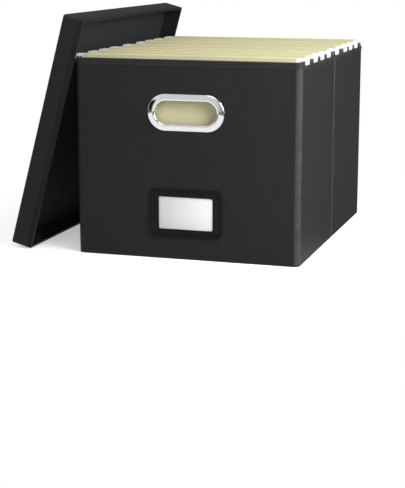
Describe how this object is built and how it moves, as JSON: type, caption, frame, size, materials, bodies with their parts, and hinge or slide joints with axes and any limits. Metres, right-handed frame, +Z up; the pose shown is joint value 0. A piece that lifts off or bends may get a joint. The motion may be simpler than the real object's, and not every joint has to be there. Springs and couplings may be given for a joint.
{
  "type": "file box",
  "caption": "Black cloth-covered hand-held file box, open, with hanging folders on clear rails, metal hand holes, a label holder and its loose lid leaning at its side.",
  "frame": {"origin": "centre of the box's base, on the surface it stands on", "axes": "+Z up, -Y out of the front with the label holder, +X to the right; the lid leans at the left, -X"},
  "size_m": [0.4151, 0.4212, 0.3227],
  "materials": {
    "cover_cloth": "matt black woven cloth with a fine upright rib",
    "lining_cloth": "matt black lining",
    "board": "grey-brown stiff board",
    "bright_metal": "bright plated steel",
    "black_plastic": "satin black moulded plastic",
    "clear_plastic": "clear colourless plastic",
    "white_card": "smooth white card",
    "manila_card": "pale manila card",
    "white_rod": "white coated steel strip"
  },
  "bodies": {
    "box": {"outer_cover": "cover_cloth", "inner_lining": "lining_cloth", "rim_hem": "cover_cloth", "bottom_panel": "cover_cloth", "front_board": "board", "rear_board": "board", "left_front_board": "board", "left_rear_board": "board", "right_front_board": "board", "right_rear_board": "board", "front_handle_bezel": "bright_metal", "front_handle_backplate": "bright_metal", "rear_handle_bezel": "bright_metal", "rear_handle_backplate": "bright_metal", "label_frame": "black_plastic", "label_window": "clear_plastic", "left_rail": "clear_plastic", "right_rail": "clear_plastic"},
    "label_card": {"label_card": "white_card"},
    "base_insert": {"insert_board": "board", "insert_wrap": "lining_cloth"},
    "lid": {"lid_top_board": "board", "lid_front_board": "board", "lid_rear_board": "board", "lid_left_board": "board", "lid_right_board": "board", "lid_cover": "cover_cloth", "lid_lining": "lining_cloth", "lid_rim_hem": "cover_cloth"},
    "folder_1": {"folder_1_sheet": "manila_card", "folder_1_front_rod": "white_rod", "folder_1_rear_rod": "white_rod"},
    "folder_2": {"folder_2_sheet": "manila_card", "folder_2_front_rod": "white_rod", "folder_2_rear_rod": "white_rod"},
    "folder_3": {"folder_3_sheet": "manila_card", "folder_3_front_rod": "white_rod", "folder_3_rear_rod": "white_rod"},
    "folder_4": {"folder_4_sheet": "manila_card", "folder_4_front_rod": "white_rod", "folder_4_rear_rod": "white_rod"},
    "folder_5": {"folder_5_sheet": "manila_card", "folder_5_front_rod": "white_rod", "folder_5_rear_rod": "white_rod"},
    "folder_6": {"folder_6_sheet": "manila_card", "folder_6_front_rod": "white_rod", "folder_6_rear_rod": "white_rod"},
    "folder_7": {"folder_7_sheet": "manila_card", "folder_7_front_rod": "white_rod", "folder_7_rear_rod": "white_rod"},
    "folder_8": {"folder_8_sheet": "manila_card", "folder_8_front_rod": "white_rod", "folder_8_rear_rod": "white_rod"},
    "folder_9": {"folder_9_sheet": "manila_card", "folder_9_front_rod": "white_rod", "folder_9_rear_rod": "white_rod"}
  },
  "joints": [
    {"name": "lid_lift", "type": "slide", "parent": "box", "child": "lid", "axis": [0, 0, 1], "range_m": [0, 0.3]},
    {"name": "label_card_lift", "type": "slide", "parent": "box", "child": "label_card", "axis": [0, 0, 1], "range_m": [0, 0.06]},
    {"name": "base_insert_lift", "type": "slide", "parent": "box", "child": "base_insert", "axis": [0, 0, 1], "range_m": [0, 0.028]},
    {"name": "folder_1_slide", "type": "slide", "parent": "box", "child": "folder_1", "axis": [0, 1, 0], "range_m": [-0.0034, 0.016]},
    {"name": "folder_2_slide", "type": "slide", "parent": "box", "child": "folder_2", "axis": [0, 1, 0], "range_m": [-0.016, 0.0125]},
    {"name": "folder_3_slide", "type": "slide", "parent": "box", "child": "folder_3", "axis": [0, 1, 0], "range_m": [-0.0125, 0.013]},
    {"name": "folder_4_slide", "type": "slide", "parent": "box", "child": "folder_4", "axis": [0, 1, 0], "range_m": [-0.013, 0.0195]},
    {"name": "folder_5_slide", "type": "slide", "parent": "box", "child": "folder_5", "axis": [0, 1, 0], "range_m": [-0.0195, 0.021]},
    {"name": "folder_6_slide", "type": "slide", "parent": "box", "child": "folder_6", "axis": [0, 1, 0], "range_m": [-0.021, 0.012]},
    {"name": "folder_7_slide", "type": "slide", "parent": "box", "child": "folder_7", "axis": [0, 1, 0], "range_m": [-0.012, 0.0125]},
    {"name": "folder_8_slide", "type": "slide", "parent": "box", "child": "folder_8", "axis": [0, 1, 0], "range_m": [-0.0125, 0.0175]},
    {"name": "folder_9_slide", "type": "slide", "parent": "box", "child": "folder_9", "axis": [0, 1, 0], "range_m": [-0.0175, 0.0034]}
  ]
}
